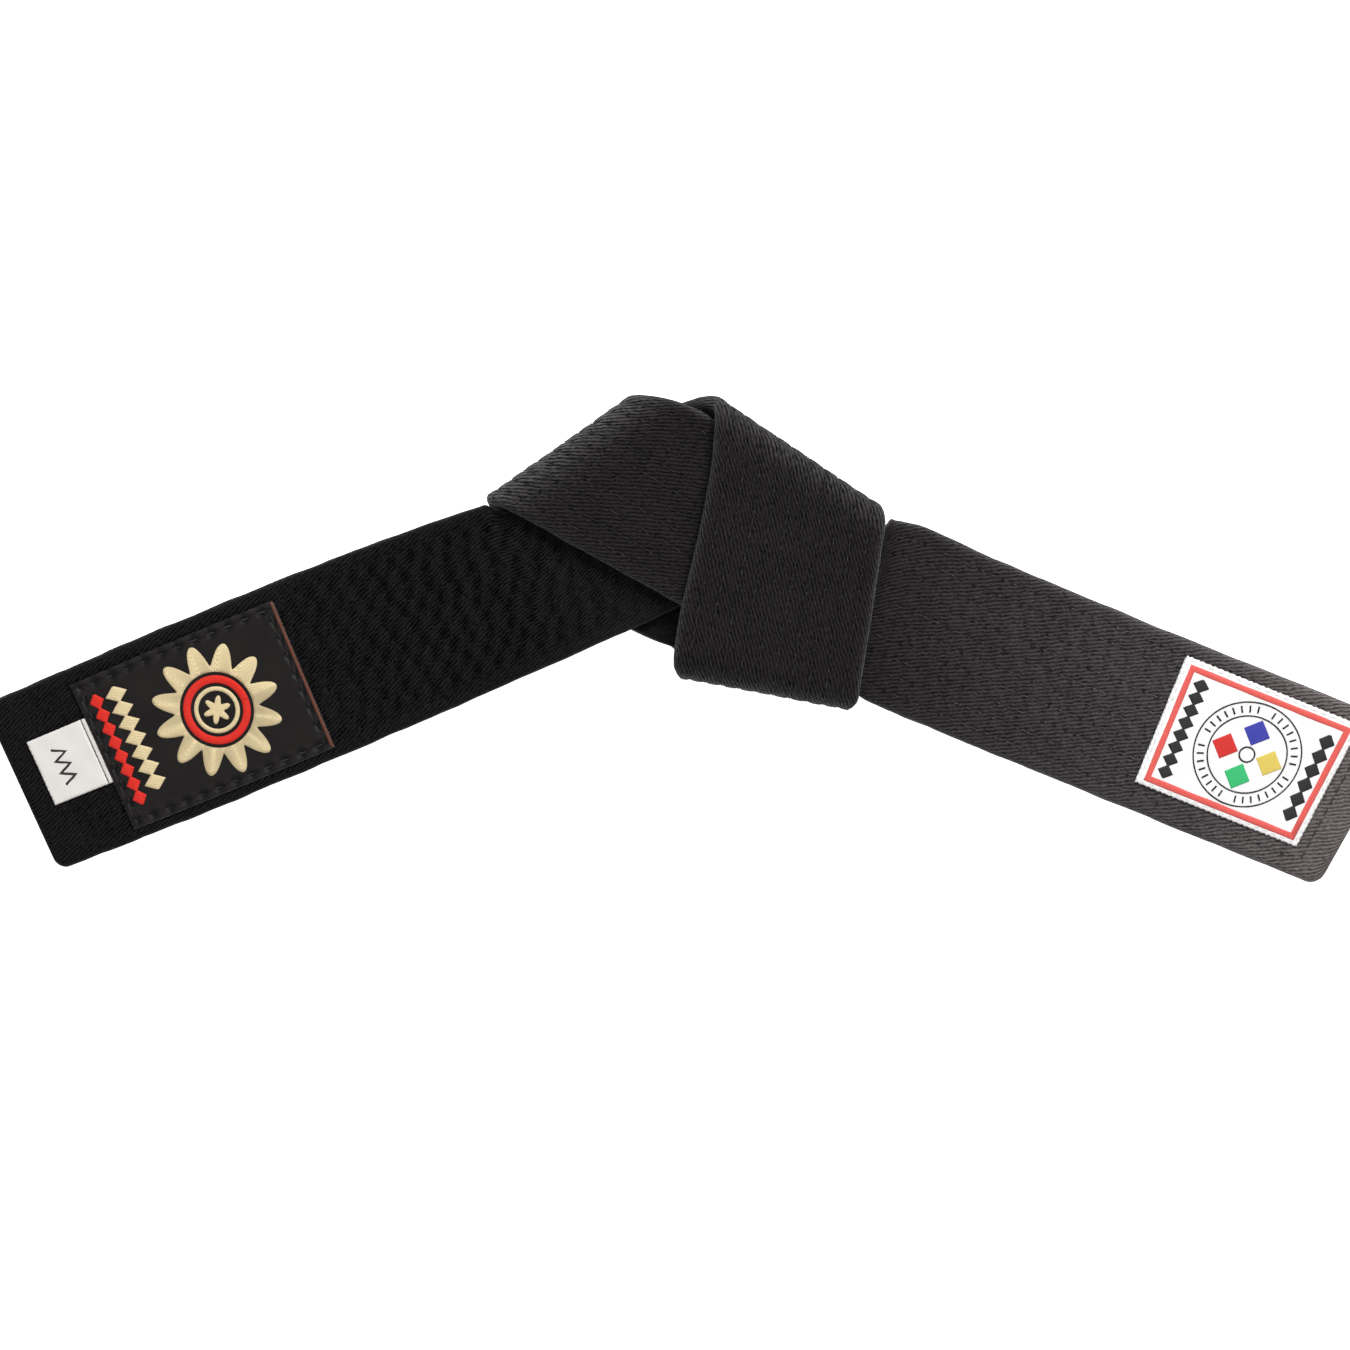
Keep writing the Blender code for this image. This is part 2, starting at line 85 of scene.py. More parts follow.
TWILL_RIDGES = 104  # round the strap

# Tones of the black dye as (darkest, lightest), each lighter than the one before: a painted light falloff
# from the dark left end to the light right end, as if lit from the right; and the stretches over which one
# passes into the next
LEFT_END_TONES = ((0.0006, 0.0006, 0.0007), (0.0215, 0.0195, 0.0205))
KNOT_TONES = ((0.0045, 0.0038, 0.0042), (0.0303, 0.0272, 0.0288))
RIGHT_TAIL_TONES = ((0.026, 0.0232, 0.0236), (0.160, 0.1435, 0.1455))
RIGHT_END_TONES = ((0.05, 0.0435, 0.043), (0.25, 0.217, 0.215))
FALLOFF_STRETCHES = ((135.0, 205.0), (450.0, 585.0), (545.0, 590.0))

# Patch, tag and label. A box is (start, end, low side, high side); the label's starts at the right end
PATCH_BOX = PATCH_START, PATCH_END, PATCH_LOW, PATCH_HIGH = 22.1, 76.9, -20.0, 18.4
PATCH_SEAM = 1.8
PATCH_STITCH = 4.5
EMBLEM = (53.4, -0.8)
PETALS = 12
PETAL_TIP, PETAL_NOTCH, PETAL_ROOT = 16.2, 10.6, 9.2
RED_RING = (6.5, 8.4)  # inner and outer radius
CREAM_RING = (4.6, 5.7)
STAR, STAR_SWING, STAR_POINTS = 2.7, 0.9, 6
CREAM_ROW, RED_ROW = 31.8, 26.6
TAG_BOX = (6.3, 20.8, -7.3, 9.7)
LABEL_BOX = LABEL_NEAR, LABEL_FAR, LABEL_LOW, LABEL_HIGH = 10.4, 55.6, -15.5, 18.5
LABEL_CENTRE = (32.3, 1.2)
LABEL_RINGS = (13.3, 9.8)
LABEL_HUB = 1.9
DIAMOND_REACH = 5.9  # from the label's centre to each diamond's
DIAMOND_HALF = 3.5
TICKS = 36
LABEL_THREAD = (2.47, 2.72)  # underside and top of the woven figures

VIEW_CENTRE = (-4.6, -9.18)  # what the camera looks at on the resting plane
VIEW_WIDTH = 337.5
LENS = 150.0

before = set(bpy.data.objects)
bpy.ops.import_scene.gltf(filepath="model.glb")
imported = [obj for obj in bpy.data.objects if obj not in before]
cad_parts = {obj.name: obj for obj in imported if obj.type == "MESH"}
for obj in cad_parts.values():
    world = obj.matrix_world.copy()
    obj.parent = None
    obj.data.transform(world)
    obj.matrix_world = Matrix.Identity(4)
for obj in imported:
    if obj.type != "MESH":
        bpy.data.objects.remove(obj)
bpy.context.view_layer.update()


# ---- the course of the strap ----


def unit(vector):
    return vector / np.linalg.norm(vector)


def heading(degrees):
    return np.array([cos(radians(degrees)), sin(radians(degrees)), 0.0])


def point(xy, height):
    return np.array([xy[0], xy[1], height], float)


def ruling(plus, minus, height, plus_heading, minus_heading):
    return (point(plus, height), point(minus, height), heading(plus_heading), heading(minus_heading))


def fold(plus_corner, minus_corner, height_in, height_out, reach, headings_in, headings_out, slip=99.0):
    """Three rulings of a fold: where the strap enters it, its outermost line, and where it leaves.

    An edge that meets the fold line at a slant drifts along it as it goes round. The cloth slips at the
    way out where its edges drift less than that.
    """
    axis = unit(point(minus_corner, 0) - point(plus_corner, 0))
    travel = heading(headings_in[0])
    inward = -unit(travel - axis * (travel @ axis))
    rise = (height_out - height_in) / 2
    quarter = pi / 4 * (reach + abs(rise))
    enter, turn, leave = [], [], []
    for corner, degrees_in, degrees_out in zip((plus_corner, minus_corner), headings_in, headings_out):
        way_in, way_out = heading(degrees_in), heading(degrees_out)
        drift_in = (way_in @ axis) / (way_in @ -inward) * quarter
        drift_out = max((way_out @ axis) / (way_out @ inward) * quarter, -slip)
        inset = inward * (HALF_THICK + reach)
        enter.append((point(corner, height_in) - axis * drift_in + inset, way_in))
        upward = point((0, 0), np.sign(rise)) + axis * (drift_in + drift_out) / (2 * quarter)
        turn.append((point(corner, height_in + rise) + inward * HALF_THICK, unit(upward)))
        leave.append((point(corner, height_out) + axis * drift_out + inset, way_out))
    return [(plus[0], minus[0], plus[1], minus[1]) for plus, minus in (enter, turn, leave)]


def course():
    """The rulings from the left end to the right end, and which of them start a quarter of a fold."""
    stops = [
        ruling((-176.2, -38.8), (-157.2, -80.2), BACK, 23.5, 20.5),
        ruling((-75.0, 2.8), (-57.6, -39.3), 5.2, 20, 23.5),
        ruling((-52.8, 10.5), (-36.3, -30.0), TAIL, 16, 23.5),
        ruling((-45.0, 9.5), (-30.0, -27.2), TAIL, 10, 23.5),
    ]
    folds = []
    for piece in (
        fold((7.2, 39.3), (50.3, 10.4), TAIL, WRAP, 4.3, (19, 26), (-91, -98)),
        fold((-3.6, -31.9), (42.9, -40.7), WRAP, BACK, 5.8, (-98, -98), (163, 108), slip=1.5),
        fold((-50.8, 13.1), (-13.6, 39.2), BACK, BAND, 4.3, (133, 125), (-27.5, -11)),
    ):
        folds += [len(stops), len(stops) + 1]
        stops += piece
    stops += [
        ruling((8.5, -18.8), (27.0, 18.6), BAND, -27.4, -27),
        ruling((38.1, -32.7), (48.8, 4.7), BAND, -26, 6),
        ruling((46.0, -38.1), (53.6, 7.2), 10.0, -24.0, -8),
        ruling((60.5, -44.2), (77.5, -2.3), 8.4, -22.5, -22.5),
        ruling((113.75, -66.0), (131.0, -24.2), 3.4, -22.4, -22.0),
        ruling((158.9, -84.2), (181.3, -44.3), BACK, -22.4, -22.0),
    ]
    return stops, folds


def trace(stops, folds):
    """Both edges as dense rows of points, the station of each row, and the length run by each edge."""
    steps = 60
    rows = []
    for number, (here, there) in enumerate(zip(stops, stops[1:])):
        stretch = 1.17 if number in folds else 1.0
        for t in np.arange(steps) / steps:
            row = []
            for edge in (0, 1):
                chord = np.linalg.norm(there[edge] - here[edge]) * stretch
                row.append(
                    (2 * t**3 - 3 * t**2 + 1) * here[edge]
                    + (t**3 - 2 * t**2 + t) * chord * here[edge + 2]
                    + (3 * t**2 - 2 * t**3) * there[edge]
                    + (t**3 - t**2) * chord * there[edge + 2]
                )
            rows.append(row)
    rows.append([stops[-1][0], stops[-1][1]])
    rows = np.array(rows) - CENTRE
    lengths = np.linalg.norm(np.diff(rows, axis=0), axis=2)
    runs = np.concatenate([[[0.0, 0.0]], np.cumsum(lengths, axis=0)])
    return rows, runs.mean(axis=1), runs


TRACK, STATIONS, RUNS = trace(*course())
TOTAL = STATIONS[-1]


def edges_at(stations):
    """Plus and minus edge points, shape (..., 2, 3)."""
    columns = [[np.interp(stations, STATIONS, TRACK[:, e, k]) for k in range(3)] for e in (0, 1)]
    return np.moveaxis(np.array(columns), (0, 1), (-2, -1))


def place(station, across, height):
    """Points of the strap; the arguments are arrays or numbers that broadcast together."""
    station, across, height = np.broadcast_arrays(
        np.asarray(station, float), np.asarray(across, float), np.asarray(height, float)
    )
    edge = edges_at(station)
    before = edges_at(np.maximum(station - STRIDE, 0.0))
    after = edges_at(np.minimum(station + STRIDE, TOTAL))
    share = (across / (2 * HALF_WIDTH) + 0.5)[..., None]
    travel = (after - before)[..., 0, :] * share + (after - before)[..., 1, :] * (1 - share)
    side = edge[..., 0, :] - edge[..., 1, :]
    normal = np.cross(travel, side)
    normal /= np.linalg.norm(normal, axis=-1, keepdims=True)
    return edge[..., 1, :] + side * share + normal * height[..., None]


def cloth_run(station, across):
    """How far along its own cloth a point lies: skewed in the folds, where one edge runs ahead."""
    plus = np.interp(station, STATIONS, RUNS[:, 0])
    minus = np.interp(station, STATIONS, RUNS[:, 1])
    share = across / (2 * HALF_WIDTH) + 0.5
    return plus * share + minus * (1 - share)


on_left = place  # the left tail shows the strap's front


def on_right(from_end, rise, height):
    """The right tail shows its other face, so up and outwards are both reversed."""
    return place(TOTAL - np.asarray(from_end), -np.asarray(rise), -np.asarray(height))


# ---- materials ----


def fill(node, **values):
    """Sets a node's inputs, which are named with _ for each space."""
    for name, value in values.items():
        node.inputs[name.replace("_", " ")].default_value = value


class Shader:
    """A Principled material whose inputs are wired from short expressions."""

    def __init__(self, name, roughness, specular):
        self.material = bpy.data.materials.new(name)
        self.material.use_nodes = True
        self.tree = self.material.node_tree
        self.surface = self.tree.nodes["Principled BSDF"]
        fill(self.surface, Roughness=roughness, Specular_IOR_Level=specular)

    def link(self, value, socket):
        """Feeds a socket with a number or with another node's output."""
        if isinstance(value, (int, float)):
            socket.default_value = value
        else:
            self.tree.links.new(value, socket)

    def node(self, kind, **settings):
        made = self.tree.nodes.new(kind)
        for key, value in settings.items():
            setattr(made, key, value)
        return made

    def math(self, operation, *values):
        made = self.node("ShaderNodeMath", operation=operation)
        for socket, value in zip(made.inputs, values):
            self.link(value, socket)
        return made.outputs[0]

    def scaled(self, value, factor, plus=0.0):
        """value times factor, plus something; each is a number or another node's output."""
        return self.math("MULTIPLY_ADD", value, factor, plus)

    def cloth(self):
        """The cloth's own coordinates in millimetres: along and around the strap."""
        uv = self.node("ShaderNodeUVMap", uv_map="cloth").outputs[0]
        parts = self.node("ShaderNodeSeparateXYZ")
        self.tree.links.new(uv, parts.inputs[0])
        return uv, parts.outputs[0], parts.outputs[1]

    def noise(self, vector, scale, detail):
        made = self.node("ShaderNodeTexNoise")
        fill(made, Scale=scale, Detail=detail)
        self.tree.links.new(vector, made.inputs["Vector"])
        return made.outputs[0]

    def combine(self, x, y):
        made = self.node("ShaderNodeCombineXYZ")
        self.link(x, made.inputs[0])
        self.link(y, made.inputs[1])
        return made.outputs[0]

    def stored(self, name):
        """A value stored at each point of the mesh."""
        return self.node("ShaderNodeAttribute", attribute_name=name).outputs["Fac"]

    def ramp(self, value, low, high):
        """Maps value from low..high to 0..1, held at both ends."""
        made = self.node("ShaderNodeMapRange")
        for socket, number in zip(made.inputs, (value, low, high)):
            self.link(number, socket)
        return made.outputs[0]

    def mix(self, share, first, second):
        made = self.node("ShaderNodeMix", data_type="RGBA")
        self.link(share, made.inputs[0])
        for socket, value in ((made.inputs[6], first), (made.inputs[7], second)):
            if isinstance(value, tuple):
                socket.default_value = (*value, 1.0)
            else:
                self.tree.links.new(value, socket)
        return made.outputs[2]

    def wave(self, value, pitch):
        """A smooth wave from 0 to 1 that repeats every pitch."""
        return self.scaled(self.math("SINE", self.scaled(value, 2 * pi / pitch)), 0.5, 0.5)

    def colour(self, value):
        self.tree.links.new(value, self.surface.inputs["Base Color"])

    def bump(self, height, depth, strength):
        made = self.node("ShaderNodeBump")
        fill(made, Distance=depth * MM, Strength=strength)
        self.tree.links.new(height, made.inputs["Height"])
        self.tree.links.new(made.outputs[0], self.surface.inputs["Normal"])

    def sheen(self, weight, roughness, tint=(1.0, 1.0, 1.0)):
        fill(self.surface, Sheen_Weight=weight, Sheen_Roughness=roughness, Sheen_Tint=(*tint, 1.0))


def with_painted_falloff(shader, along, dye_and_falloff, *paler):
    """The belt's dye with a painted light falloff: the first tone at the left end, passing into each paler
    one towards the right end.
    """
    for (start, end), tone in zip(FALLOFF_STRETCHES, paler):
        dye_and_falloff = shader.mix(shader.ramp(along, start, end), dye_and_falloff, tone)
    return dye_and_falloff


def twill_weave(shader, uv, along, around):
    """The weave's slanting ridges, the streaks that break them up, and its fibres, each from 0 to 1."""
    run = shader.scaled(along, cos(TWILL_SLANT))
    run = shader.scaled(around, sin(TWILL_SLANT), run)
    over = shader.scaled(around, TWILL_RIDGES / GIRTH)
    over = shader.scaled(along, -tan(TWILL_SLANT) * TWILL_RIDGES / GIRTH, over)
    wander = shader.scaled(shader.noise(uv, 0.3, 3.0), 1.0, -0.5)
    over = shader.scaled(over, 1.0, wander)
    ridge = shader.wave(over, 1.0)
    streak = shader.noise(shader.combine(shader.scaled(run, 0.45), over), 1.9, 2.0)
    return ridge, streak, shader.noise(uv, 4.0, 2.0)


def twill_material():
    """Black cotton twill with painted shade in its quilting's hollows, painted highlights over its folds and
    edges, a painted light falloff from the dark left end, and some lint.
    """
    shader = Shader("black_twill", roughness=0.8, specular=0.03)
    uv, along, around = shader.cloth()
    ridge, streak, fibre = twill_weave(shader, uv, along, around)
    height = shader.scaled(streak, 0.9, shader.scaled(ridge, 0.8))
    shader.bump(shader.scaled(fibre, 0.25, height), 0.25, 0.9)
    tone = shader.scaled(ridge, 0.7)
    for source, weight in (
        (shader.ramp(streak, 0.3, 0.7), 0.75),
        (fibre, 0.3),
        (shader.noise(uv, 0.12, 4.0), 0.4),
        # painted shade: the stored values darken the cloth in the quilting's grooves, stitch pits and bunches
        (shader.stored("shade"), 2.0),
    ):
        tone = shader.scaled(source, weight, tone)
    lit = shader.ramp(tone, 0.45, 1.75)
    # painted light falloff: the tones grow lighter from the left end to the right end
    falloff_tones = [shader.mix(lit, dark, light) for dark, light in (LEFT_END_TONES, KNOT_TONES, RIGHT_TAIL_TONES, RIGHT_END_TONES)]
    dye_and_falloff = with_painted_falloff(shader, along, *falloff_tones)
    # painted highlight: light grey threads over the folds and along the edges
    highlit = shader.scaled(shader.stored("wear"), shader.ramp(tone, 0.6, 1.6))
    dye_and_falloff = shader.mix(highlit, dye_and_falloff, (0.34, 0.33, 0.34))
    lint = shader.scaled(shader.ramp(shader.noise(uv, 2.6, 1.0), 0.72, 0.78), 0.35)
    shader.colour(shader.mix(lint, dye_and_falloff, (0.16, 0.15, 0.15)))
    shader.sheen(0.12, 0.3, (0.95, 0.93, 1.0))
    return shader.material


def thread_material(name, colour, shine, pitch=0.45, depth=0.08):
    """Twisted or satin-stitched thread: fine bright and dark strokes across its run."""
    shader = Shader(name, roughness=0.5, specular=shine)
    uv, along, around = shader.cloth()
    wander = shader.scaled(shader.noise(uv, 1.2, 2.0), 0.8, along)
    stroke = shader.wave(shader.scaled(around, 0.35, wander), pitch)
    fibre = shader.noise(uv, 4.0, 2.0)
    shader.bump(shader.scaled(fibre, 0.5, stroke), depth, 0.7)
    dark = tuple(0.66 * part for part in colour)
    light = tuple(min(1.0, 1.12 * part) for part in colour)
    share = shader.scaled(fibre, 0.5, shader.scaled(stroke, 0.5))
    shader.colour(shader.mix(share, dark, light))
    shader.sheen(0.15, 0.4)
    return shader.material


def quilting_thread_material():
    """Black quilting thread, paler towards the right end with the same painted light falloff as the cloth."""
    shader = Shader("quilting_thread", roughness=0.6, specular=0.05)
    uv, along = shader.cloth()[:2]
    shader.bump(shader.noise(uv, 3.0, 2.0), 0.05, 0.7)
    tone = with_painted_falloff(shader, along, (0.012, 0.0115, 0.012), (0.05, 0.046, 0.048), (0.24, 0.225, 0.225))
    share = shader.ramp(shader.noise(uv, 0.9, 2.0), 0.4, 0.62)
    shader.colour(shader.mix(share, (0.01, 0.0095, 0.0095), tone))
    shader.sheen(0.15, 0.4)
    return shader.material


def satin_material(name, dark, light, pitch, roughness, specular, stain=0.0):
    """Woven satin: fine parallel yarns, softly lit, with faint cross ribs, and painted shade in the dips and
    painted highlight on the swells where a relief is stored.
    """
    shader = Shader(name, roughness=roughness, specular=specular)
    uv, along, around = shader.cloth()
    yarn = shader.wave(shader.scaled(shader.noise(uv, 0.8, 2.0), 0.25, around), pitch)
    rib = shader.wave(along, pitch * 2.2)
    fibre = shader.noise(uv, 3.0, 3.0)
    height = shader.scaled(rib, 0.35, yarn)
    shader.bump(shader.scaled(fibre, 0.5, height), 0.05, 0.6)
    share = shader.scaled(fibre, 0.6, shader.scaled(yarn, 0.4))
    # painted shade in the dips and painted highlight on the swells
    share = shader.scaled(shader.stored("shade"), 1.6, share)
    tone = shader.mix(share, dark, light)
    if stain:
        soft = shader.ramp(shader.noise(uv, 0.1, 3.0), 0.45, 0.75)
        tone = shader.mix(shader.scaled(soft, stain), tone, dark)
    shader.colour(tone)
    shader.sheen(0.2, 0.3)
    return shader.material


# ---- meshes ----


def make_mesh(name, points, faces, cloth, material, stored=None, seam=None):
    """points in millimetres; cloth holds the cloth coordinates of each point, stored holds named values.

    A seam is (corners, length): those face corners lie one whole length further round the cloth.
    """
    mesh = bpy.data.meshes.new(name)
    mesh.from_pydata((np.asarray(points) * MM).tolist(), [], faces)
    layer = mesh.uv_layers.new(name="cloth")
    corner_points = np.empty(len(mesh.loops), np.int32)
    mesh.loops.foreach_get("vertex_index", corner_points)
    corners = np.asarray(cloth, np.float32)[corner_points]
    if seam:
        corners[seam[0], 1] += seam[1]
    layer.data.foreach_set("uv", corners.ravel())
    for key, values in (stored or {}).items():
        padded = np.zeros(len(mesh.vertices), np.float32)
        padded[:values.size] = values.ravel()
        mesh.attributes.new(key, "FLOAT", "POINT").data.foreach_set("value", padded)
    mesh.shade_smooth()
    mesh.materials.append(material)
    item = bpy.data.objects.new(name, mesh)
    bpy.context.scene.collection.objects.link(item)
    return item


def quads_between(first, second, columns):
    """Quads between two rings whose points start at the given numbers."""
    following = [*range(1, columns), 0]
    return [(first + here, first + near, second + near, second + here) for here, near in enumerate(following)]


def hoop(points, cloth):
    """Rings of points as a tube that closes on itself: its points, faces and cloth coordinates."""
    rows, columns = points.shape[:2]
    faces = []
    for row in range(rows):
        faces += quads_between(row * columns, (row + 1) % rows * columns, columns)
    return points.reshape(-1, 3), faces, cloth.reshape(-1, 2)


def tube(points, cloth):
    """Rings of points as a tube with a middle point added for each cap, after all the rings."""
    rows, columns = points.shape[:2]
    faces = []
    for row in range(rows - 1):
        faces += quads_between(row * columns, (row + 1) * columns, columns)
    count = rows * columns
    last = count - columns
    for column in range(columns):
        following = (column + 1) % columns
        faces.append((following, column, count))
        faces.append((last + column, last + following, count + 1))
    ends, cloth_ends = points[[0, -1]].mean(axis=1), cloth[[0, -1]].mean(axis=1)
    return np.vstack([points.reshape(-1, 3), ends]), faces, np.vstack([cloth.reshape(-1, 2), cloth_ends])


# ---- the strap ----


def soft_noise(first, second, seed):
    """Smooth random values between -1 and 1 over a plane, from a fixed table."""
    table = np.random.default_rng(seed).uniform(-1, 1, (64, 64))

    def cell(value):
        low = np.floor(value).astype(int)
        share = value - low
        return low % 64, (low + 1) % 64, share**2 * (3 - 2 * share)

    row, next_row, down = cell(first)
    column, next_column, over = cell(second)
    near = table[row, column] * (1 - over) + table[row, next_column] * over
    far = table[next_row, column] * (1 - over) + table[next_row, next_column] * over
    return near * (1 - down) + far * down


def evenly(start, end, spacing):
    """Places from start to end, about one every spacing."""
    return np.linspace(start, end, round((end - start) / spacing) + 1)


def strap_outline():
    """The strap's outline from the middle of its minus edge: across, outward way (side, lift), length round.

    Its stretches are the minus edge's upper quarter, the front face, the plus edge, the back face, and the
    minus edge's lower quarter.
    """
    flat = HALF_WIDTH - HALF_THICK
    face = evenly(-flat, flat, FINE)
    rising = np.linspace(0, pi / 2, 5)[:-1]
    plus_edge = np.linspace(pi / 2, -pi / 2, 9)[1:-1]
    closing = rising[:0:-1]
    across = [
        -flat - HALF_THICK * np.cos(rising),
        face,
        flat + HALF_THICK * np.cos(plus_edge),
        face[::-1],
        -flat - HALF_THICK * np.cos(closing),
    ]
    side = [-np.cos(rising), 0 * face, np.cos(plus_edge), 0 * face, -np.cos(closing)]
    lift = [np.sin(rising), 0 * face + 1, np.sin(plus_edge), 0 * face - 1, -np.sin(closing)]
    quarter = GIRTH / 4 - flat
    around = [
        rising * HALF_THICK,
        quarter + flat + face,
        2 * flat + 2 * quarter - plus_edge * HALF_THICK,
        3 * quarter + 2 * flat + (flat - face[::-1]),
        4 * quarter + 4 * flat - closing * HALF_THICK,
    ]
    return [np.concatenate(stretches) for stretches in (across, side, lift, around)]


def at_folds(station, amounts, reaches):
    """A value that peaks at each fold's own amount on its line, and fades over its reach."""
    folds = zip(FOLD_LINES, amounts, reaches)
    return sum(amount * np.exp(-(((station - line) / reach) ** 2)) for line, amount, reach in folds)


def bunch_strength(station):
    """How far the cloth bunches between rows: most where the left tail is pressed by the knot."""
    return BUNCH + sum(more * np.exp(-(((station - most) / reach) ** 2)) for most, reach, more in BUNCHES)


def quilting_relief(run, across, strength, crease):
    """Height of the quilted cloth and the shade painted into its hollows: both drop along the rows, at stitch
    ends and where it bunches.

    The rows pull in more where the cloth is creased round a fold.
    """
    row = np.clip(np.round(across / ROW_SPACING - 0.5) + 0.5, -(ROWS - 1) / 2, (ROWS - 1) / 2)
    away = across - row * ROW_SPACING
    phase = run / STITCH + ROW_SHIFT * row
    from_hole = (phase - np.round(phase)) * STITCH
    groove = -(0.12 + 0.16 * crease) * np.exp(-((away / 0.7) ** 2))
    pit = -0.18 * np.exp(-((from_hole / 0.5) ** 2)) * np.exp(-((away / 0.55) ** 2))
    lane = np.round(across / ROW_SPACING)
    quilted = np.clip((ROWS / 2 * ROW_SPACING + 0.5 - np.abs(across)) / 4.0, 0, 1)
    between = (0.3 + 0.7 * np.cos(pi * (across / ROW_SPACING - lane)) ** 2) * quilted
    sway = pi * lane + 0.7 * np.sin(1.7 * lane) + 1.1 * np.sin(run / 11.0 + 2.0 * lane) - across / 2.2
    bunch = -strength * (0.5 + 0.5 * np.sin(2 * pi * run / PUCKER + sway)) ** 1.6 * between
    rough = 0.04 * soft_noise(run / 1.7, across / 1.3, 3) + 0.08 * soft_noise(run / 7.0, across / 5.0, 5)
    # the second value is painted shade for the colour, darkest in the grooves, pits and bunches
    return groove + pit - 0.12 * quilted + bunch + rough, 0.35 * groove + 1.5 * pit + bunch


def tip_shape(from_tip, rounding):
    """Narrowing across and flattening of a sewn end, at distances from the tip."""
    reach = np.clip(from_tip / rounding, 0, 1)
    narrow = rounding * (1 - np.sqrt(1 - (1 - reach) ** 2))
    soft = np.clip(from_tip / 2.0, 0, 1)
    flatten = 0.25 + 0.75 * np.sqrt(1 - (1 - soft) ** 2)
    return narrow, flatten


def edge_zone(outward):
    """Rises from 0 inside the strap to 1 at its edge."""
    return np.clip((outward - (HALF_WIDTH - EDGE_ZONE)) / EDGE_ZONE, 0, 1) ** 2


def corner_pull(station, across):
    """How far the strap's edges are drawn in where they turn a fold's corner."""
    return at_folds(station, FOLD_PULL, FOLD_PULL_REACH) * edge_zone(np.abs(across)) * np.sign(across)


def edge_release(station, across):
    """How far an edge springs back out where it comes clear of the layer above it."""
    spring = 0.0
    for released, side, amount, width in RELEASES:
        near = np.exp(-(((station - released) / width) ** 2))
        spring = spring + side * amount * near * edge_zone(side * across)
    return spring


def hem_relief(from_tip, hem):
    """The dip along an end's cross seam, and the thicker turned-in cloth beyond it."""
    dip = -0.3 * np.exp(-(((from_tip - hem) / 0.6) ** 2))
    return dip + 0.12 * np.exp(-(((from_tip - hem + 3) / 2.2) ** 2))


def strap_relief(station, run, across, lift, from_tip, hem):
    """How far the cloth stands off its plain outline, and the shade painted into its hollows, at each point
    of the strap.
    """
    crease = at_folds(station, (1, 1, 1), FOLD_CREASE_REACH)
    depth, shade = quilting_relief(run + 1.3 * lift, across, bunch_strength(station), crease)
    quilted = np.clip((from_tip - hem - 1.5) / 1.0, 0, 1)
    on_face = np.abs(lift) > 0.99
    edge_depth = 0.05 * soft_noise(run / 2.3, lift * 2, 11)
    depth = np.where(on_face, depth * quilted + hem_relief(from_tip, hem) - 0.1, edge_depth)
    return depth, np.where(on_face, shade * quilted, 0.0)


def strap_painted_highlight(station, side):
    """Painted highlight over each fold, and along both edges from the knot onwards, where light grazes the
    rounded cloth.
    """
    along_edges = EDGE_HIGHLIGHT * np.abs(side) ** 2 * np.clip((station - EDGE_HIGHLIGHT_START) / 40, 0, 1)
    return np.maximum(at_folds(station, FOLD_HIGHLIGHT, FOLD_HIGHLIGHT_REACH), along_edges)


def strap_stations(start, end, tip):
    """Where the strap's rings of points stand, closer together at the sewn end."""
    near = np.array([0.02, 0.08, 0.2, 0.35])
    return np.unique(np.concatenate([evenly(start, end, FINE), near if tip == "left" else TOTAL - near]))


def build_strap(name, start, end, tip, material):
    """One half of the strap, as rings of points round it."""
    across, side, lift, around = (values[None] for values in strap_outline())
    stations = strap_stations(start, end, tip)
    station = stations[:, None] + 0 * across
    run = cloth_run(station, across)
    from_tip = station if tip == "left" else TOTAL - station
    depth, shade = strap_relief(station, run, across, lift, from_tip, HEMS[tip])
    narrow, flatten = tip_shape(from_tip, TIPS[tip])
    wobble = 0.12 * soft_noise(run / 6.0, 0 * run, 17) * (np.abs(across) / HALF_WIDTH) ** 4
    wide = across * (1 - narrow / HALF_WIDTH) + side * depth + wobble * np.sign(across)
    wide = wide - corner_pull(station, across) + edge_release(station, across)
    tall = (lift * HALF_THICK + lift * depth) * flatten
    cloth = np.stack([run, around + 0 * run], axis=-1)
    # Each ring's last quad closes it: two of its corners are back at the start, a whole girth further round
    last = np.arange(1, len(stations)) * across.size - 1
    seam = (np.concatenate([4 * last + 1, 4 * last + 2]), GIRTH)
    # painted shade in the quilting's hollows and painted highlight over the folds and edges, kept for the
    # cloth's colour
    stored = {"shade": shade, "wear": strap_painted_highlight(station, side)}
    return make_mesh(name, *tube(place(station, wide, tall), cloth), material, stored, seam)


# ---- threads, cords and plates ----


